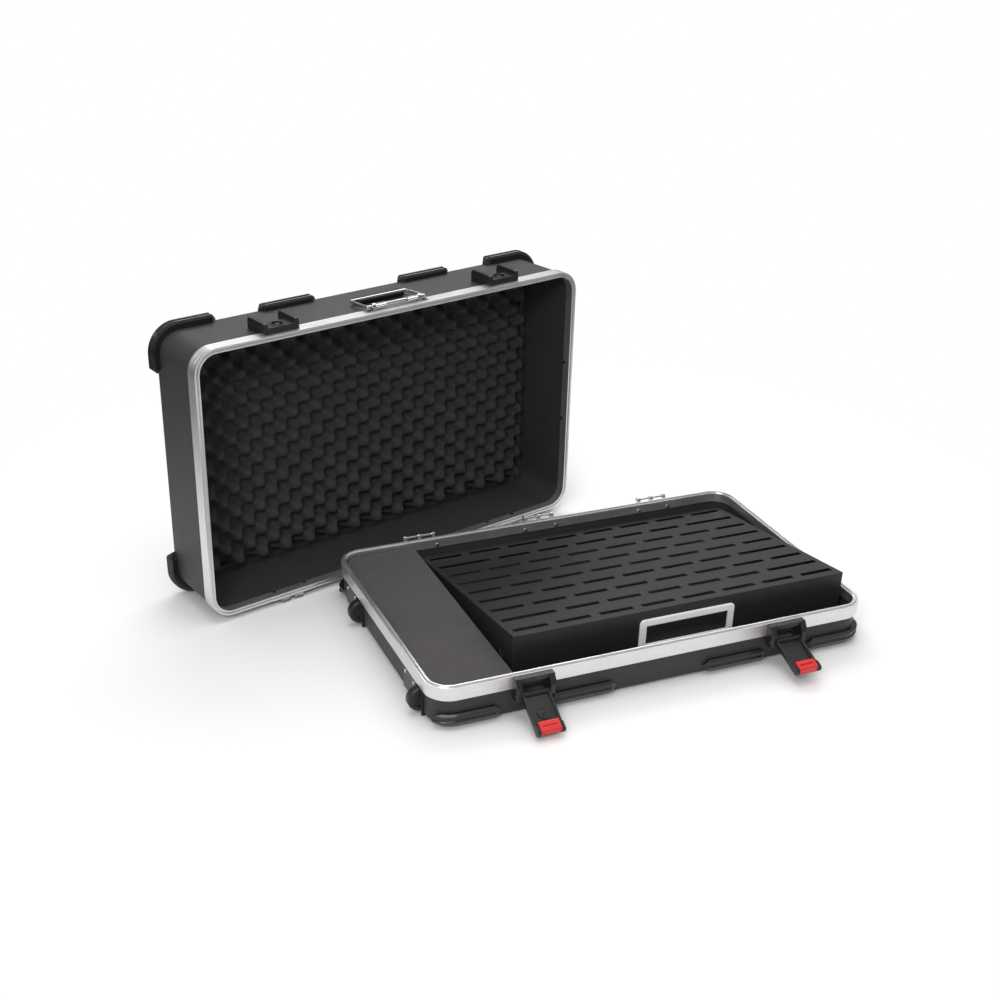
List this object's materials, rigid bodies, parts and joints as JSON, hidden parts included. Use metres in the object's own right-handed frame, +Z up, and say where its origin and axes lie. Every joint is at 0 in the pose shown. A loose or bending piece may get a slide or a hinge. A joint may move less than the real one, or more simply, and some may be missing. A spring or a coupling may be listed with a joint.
{
  "type": "guitar pedal case",
  "caption": "Moulded flight case for a guitar pedal board, its lift-off lid standing behind, with the slotted board in the tray, two open draw latches, wheels and foam",
  "frame": {"origin": "centre of the tray's flat underside", "axes": "+X along the tray's long side, +Y away from the latch side, +Z up"},
  "size_m": [1.083, 0.8747, 0.5107],
  "materials": {
    "shell_plastic": "fine-textured moulded ABS",
    "rim_aluminium": "satin extrusion",
    "bumper_plastic": "glossy moulded",
    "block_foam": "fine open-cell foam",
    "lid_foam": "profiled foam sheet",
    "latch_plastic": "satin moulded",
    "catch_red": "satin moulded",
    "steel_pin": "plain",
    "wheel_plastic": "moulded",
    "chrome_steel": "bright plated",
    "spring_steel": "drawn wire",
    "rivet_steel": "bright",
    "grip_rubber": "ridged soft grip",
    "board_coat": "black powder coat",
    "bezel_coat": "pale satin paint",
    "foot_rubber": "moulded"
  },
  "bodies": {
    "pedalboard": {"board_deck": "board_coat", "board_feet": "foot_rubber", "board_module_bezel": "bezel_coat"},
    "latch_lever_left_body": {"latch_lever_left": "latch_plastic", "latch_lock_barrel": "latch_plastic"},
    "latch_slide_left_body": {"latch_slide_left": "catch_red"},
    "latch_lever_right_body": {"latch_lever_right": "latch_plastic"},
    "latch_slide_right_body": {"latch_slide_right": "catch_red"},
    "wheel_front_body": {"wheel_front": "wheel_plastic"},
    "wheel_rear_body": {"wheel_rear": "wheel_plastic"},
    "carry_handle": {"carry_handle_bail": "chrome_steel", "carry_handle_grip": "grip_rubber"},
    "side_handle": {"side_handle_bail": "chrome_steel", "side_handle_grip": "grip_rubber"},
    "lid": {"carry_handle_bracket": "chrome_steel", "carry_handle_springs": "spring_steel", "latch_keeper_left": "latch_plastic", "latch_keeper_right": "latch_plastic", "lid_corner_bumper_back_left": "bumper_plastic", "lid_corner_bumper_back_right": "bumper_plastic", "lid_corner_bumper_front_left": "bumper_plastic", "lid_corner_bumper_front_right": "bumper_plastic", "lid_edge_bumper_back_left": "bumper_plastic", "lid_edge_bumper_back_right": "bumper_plastic", "lid_edge_bumper_front_left": "bumper_plastic", "lid_edge_bumper_front_right": "bumper_plastic", "lid_foam_sheet": "lid_foam", "lid_hinge_centre": "chrome_steel", "lid_hinge_left": "chrome_steel", "lid_hinge_right": "chrome_steel", "lid_rim": "rim_aluminium", "lid_rivets": "rivet_steel", "lid_shell": "shell_plastic", "side_handle_bracket": "chrome_steel", "side_handle_springs": "spring_steel"},
    "tray": {"base_corner_bumper_back_left": "bumper_plastic", "base_corner_bumper_back_right": "bumper_plastic", "base_corner_bumper_front_left": "bumper_plastic", "base_corner_bumper_front_right": "bumper_plastic", "base_edge_bumper_back_left": "bumper_plastic", "base_edge_bumper_back_right": "bumper_plastic", "base_edge_bumper_front_left": "bumper_plastic", "base_edge_bumper_front_right": "bumper_plastic", "base_foam_block": "block_foam", "base_foam_liner": "block_foam", "base_hinge_centre": "chrome_steel", "base_hinge_left": "chrome_steel", "base_hinge_right": "chrome_steel", "base_rim": "rim_aluminium", "base_rivets": "rivet_steel", "base_shell": "shell_plastic", "latch_housing_left": "latch_plastic", "latch_housing_right": "latch_plastic", "latch_pin_left": "steel_pin", "latch_pin_right": "steel_pin", "latch_rivets": "latch_plastic", "wheel_axle_front": "steel_pin", "wheel_axle_rear": "steel_pin", "wheel_housing_front": "latch_plastic", "wheel_housing_rear": "latch_plastic"}
  },
  "joints": [
    {"name": "latch_lever_left_pivot", "type": "hinge", "parent": "tray", "child": "latch_lever_left_body", "pos_m": [-0.231, -0.255, 0.046], "axis": [-1, 0, 0], "range_deg": [0, 120]},
    {"name": "latch_slide_left_travel", "type": "slide", "parent": "latch_lever_left_body", "child": "latch_slide_left_body", "axis": [0, 0.866, 0.5], "range_m": [0, 0.005]},
    {"name": "latch_lever_right_pivot", "type": "hinge", "parent": "tray", "child": "latch_lever_right_body", "pos_m": [0.231, -0.255, 0.046], "axis": [-1, 0, 0], "range_deg": [-11, 109]},
    {"name": "latch_slide_right_travel", "type": "slide", "parent": "latch_lever_right_body", "child": "latch_slide_right_body", "axis": [0, 0.9455, 0.3256], "range_m": [0, 0.005]},
    {"name": "wheel_front_spin", "type": "hinge", "parent": "tray", "child": "wheel_front_body", "pos_m": [-0.395, -0.177, 0.027], "axis": [0, 1, 0], "continuous": true},
    {"name": "wheel_rear_spin", "type": "hinge", "parent": "tray", "child": "wheel_rear_body", "pos_m": [-0.395, 0.113, 0.027], "axis": [0, 1, 0], "continuous": true},
    {"name": "pedalboard_lift", "type": "slide", "parent": "tray", "child": "pedalboard", "axis": [0, 0, 1], "range_m": [0, 0.15]},
    {"name": "lid_lift", "type": "slide", "parent": "tray", "child": "lid", "axis": [0, 0, 1], "range_m": [0, 0.25]},
    {"name": "carry_handle_swing", "type": "hinge", "parent": "lid", "child": "carry_handle", "pos_m": [-0.25471, 0.31612, 0.49985], "axis": [0.9641, 0.2656, 0], "range_deg": [0, 100], "stiffness_Nm_per_rad": 0.15, "springref_deg": -20.05},
    {"name": "side_handle_swing", "type": "hinge", "parent": "lid", "child": "side_handle", "pos_m": [0.13696, 0.42115, 0.25136], "axis": [0.0029, -0.0107, -0.9999], "range_deg": [0, 100], "stiffness_Nm_per_rad": 0.15, "springref_deg": -20.05}
  ]
}
